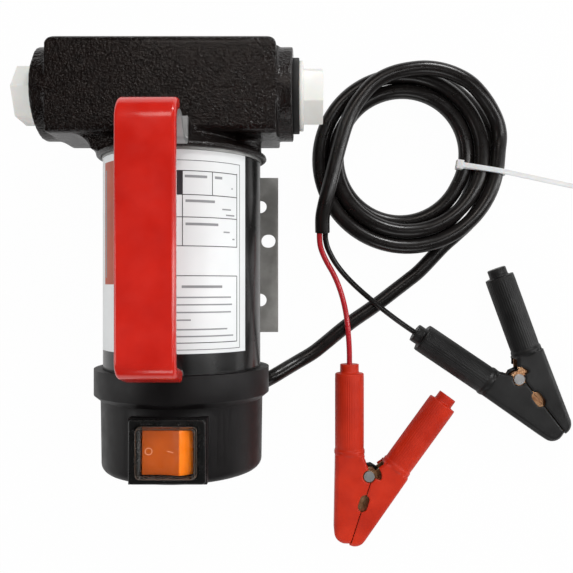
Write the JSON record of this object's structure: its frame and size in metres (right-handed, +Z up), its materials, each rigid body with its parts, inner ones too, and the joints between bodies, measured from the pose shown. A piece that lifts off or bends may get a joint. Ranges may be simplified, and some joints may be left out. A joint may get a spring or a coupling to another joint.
{
  "type": "diesel transfer pump",
  "caption": "Portable electric diesel transfer pump lying on its bracket: vane pump head with plugged ports, motor, handle, rocker switch, and a coiled cable with battery clamps.",
  "frame": {"origin": "centre of the four bracket holes, on the mounting plane", "axes": "+X along the ports, towards the outlet; +Y along the motor axis, towards the pump head; +Z up, away from the mounting plane"},
  "size_m": [0.2718, 0.248, 0.1254],
  "materials": {
    "cast_black": "rough crinkle",
    "gloss_black": "gloss",
    "cap_black": "satin",
    "plug_white": "satin",
    "black_rubber": "matt",
    "label_silver": "satin",
    "switch_black": "gloss",
    "rocker_amber": "translucent gloss",
    "cover_clear": "clear",
    "strap_steel": "satin",
    "grip_red": "gloss",
    "bracket_grey": "satin",
    "cable_black": "gloss",
    "wire_red": "gloss",
    "tie_white": "satin",
    "clamp_red": "satin",
    "clamp_black": "satin",
    "jaw_copper": "bright",
    "steel": "bright",
    "spring_dark": "oiled",
    "machined_iron": "machined",
    "flange_alloy": "cast",
    "magnet_grey": "matt",
    "lamination": "matt",
    "copper": "enamelled",
    "carbon": "matt",
    "brush_board": "matt",
    "brass": "turned"
  },
  "bodies": {
    "pump_body": {"pump_head": "cast_black", "inlet_plug": "plug_white", "outlet_plug": "plug_white", "inlet_seal": "black_rubber", "outlet_seal": "black_rubber", "inlet_strainer": "steel", "bypass_spring": "steel", "bypass_cap": "steel", "chamber_o_ring": "black_rubber", "front_flange": "flange_alloy", "shaft_seal": "black_rubber", "front_bearing": "steel", "motor_tube": "gloss_black", "field_magnets": "magnet_grey", "rear_flange": "flange_alloy", "rear_bearing": "steel", "brush_plate": "brush_board", "brushes": "carbon", "brush_springs": "steel", "tie_bolts": "steel", "end_cap": "cap_black", "cap_screws": "steel", "cable_gland": "black_rubber", "switch_body": "switch_black", "switch_cover": "cover_clear", "label": "label_silver", "handle_strap": "strap_steel", "handle_grip": "grip_red", "handle_screw": "steel", "mounting_bracket": "bracket_grey", "power_cable": "cable_black", "cable_coil": "cable_black", "cable_tail": "cable_black", "red_wire": "wire_red", "black_wire": "cable_black", "cable_tie": "tie_white", "red_wired_jaw": "jaw_copper", "red_wired_grip": "clamp_red", "red_rivet": "steel", "red_spring": "spring_dark", "black_wired_jaw": "jaw_copper", "black_wired_grip": "clamp_black", "black_rivet": "steel", "black_spring": "spring_dark"},
    "motor_rotor": {"motor_shaft": "steel", "armature_core": "lamination", "armature_winding": "copper", "commutator": "copper", "pump_rotor": "machined_iron", "pump_vanes": "carbon"},
    "bypass_poppet": {"bypass_poppet": "brass"},
    "switch_rocker": {"switch_rocker": "rocker_amber"},
    "red_hinged_arm": {"red_hinged_jaw": "jaw_copper", "red_hinged_grip": "clamp_red"},
    "black_hinged_arm": {"black_hinged_jaw": "jaw_copper", "black_hinged_grip": "clamp_black"}
  },
  "joints": [
    {"name": "motor_spin", "type": "hinge", "parent": "pump_body", "child": "motor_rotor", "pos_m": [0, 0, 0.045], "axis": [0, 1, 0], "continuous": true},
    {"name": "bypass_lift", "type": "slide", "parent": "pump_body", "child": "bypass_poppet", "axis": [0, 1, 0], "range_m": [0, 0.004], "stiffness_N_per_m": 1500, "springref_m": -0.004, "deforming": ["bypass_spring"]},
    {"name": "rocker_turn", "type": "hinge", "parent": "pump_body", "child": "switch_rocker", "pos_m": [0.0004, -0.0855, 0.082], "axis": [0, 1, 0], "range_deg": [0, 20]},
    {"name": "red_clamp_open", "type": "hinge", "parent": "pump_body", "child": "red_hinged_arm", "pos_m": [0.0895, -0.1142, 0.0076], "axis": [0, 0, 1], "range_deg": [0, 32], "stiffness_Nm_per_rad": 0.5, "springref_deg": -34.38, "deforming": ["red_spring"]},
    {"name": "black_clamp_open", "type": "hinge", "parent": "pump_body", "child": "black_hinged_arm", "pos_m": [0.166, -0.0647, 0.0076], "axis": [0, 0, 1], "range_deg": [0, 32], "stiffness_Nm_per_rad": 0.5, "springref_deg": -34.38, "deforming": ["black_spring"]}
  ]
}
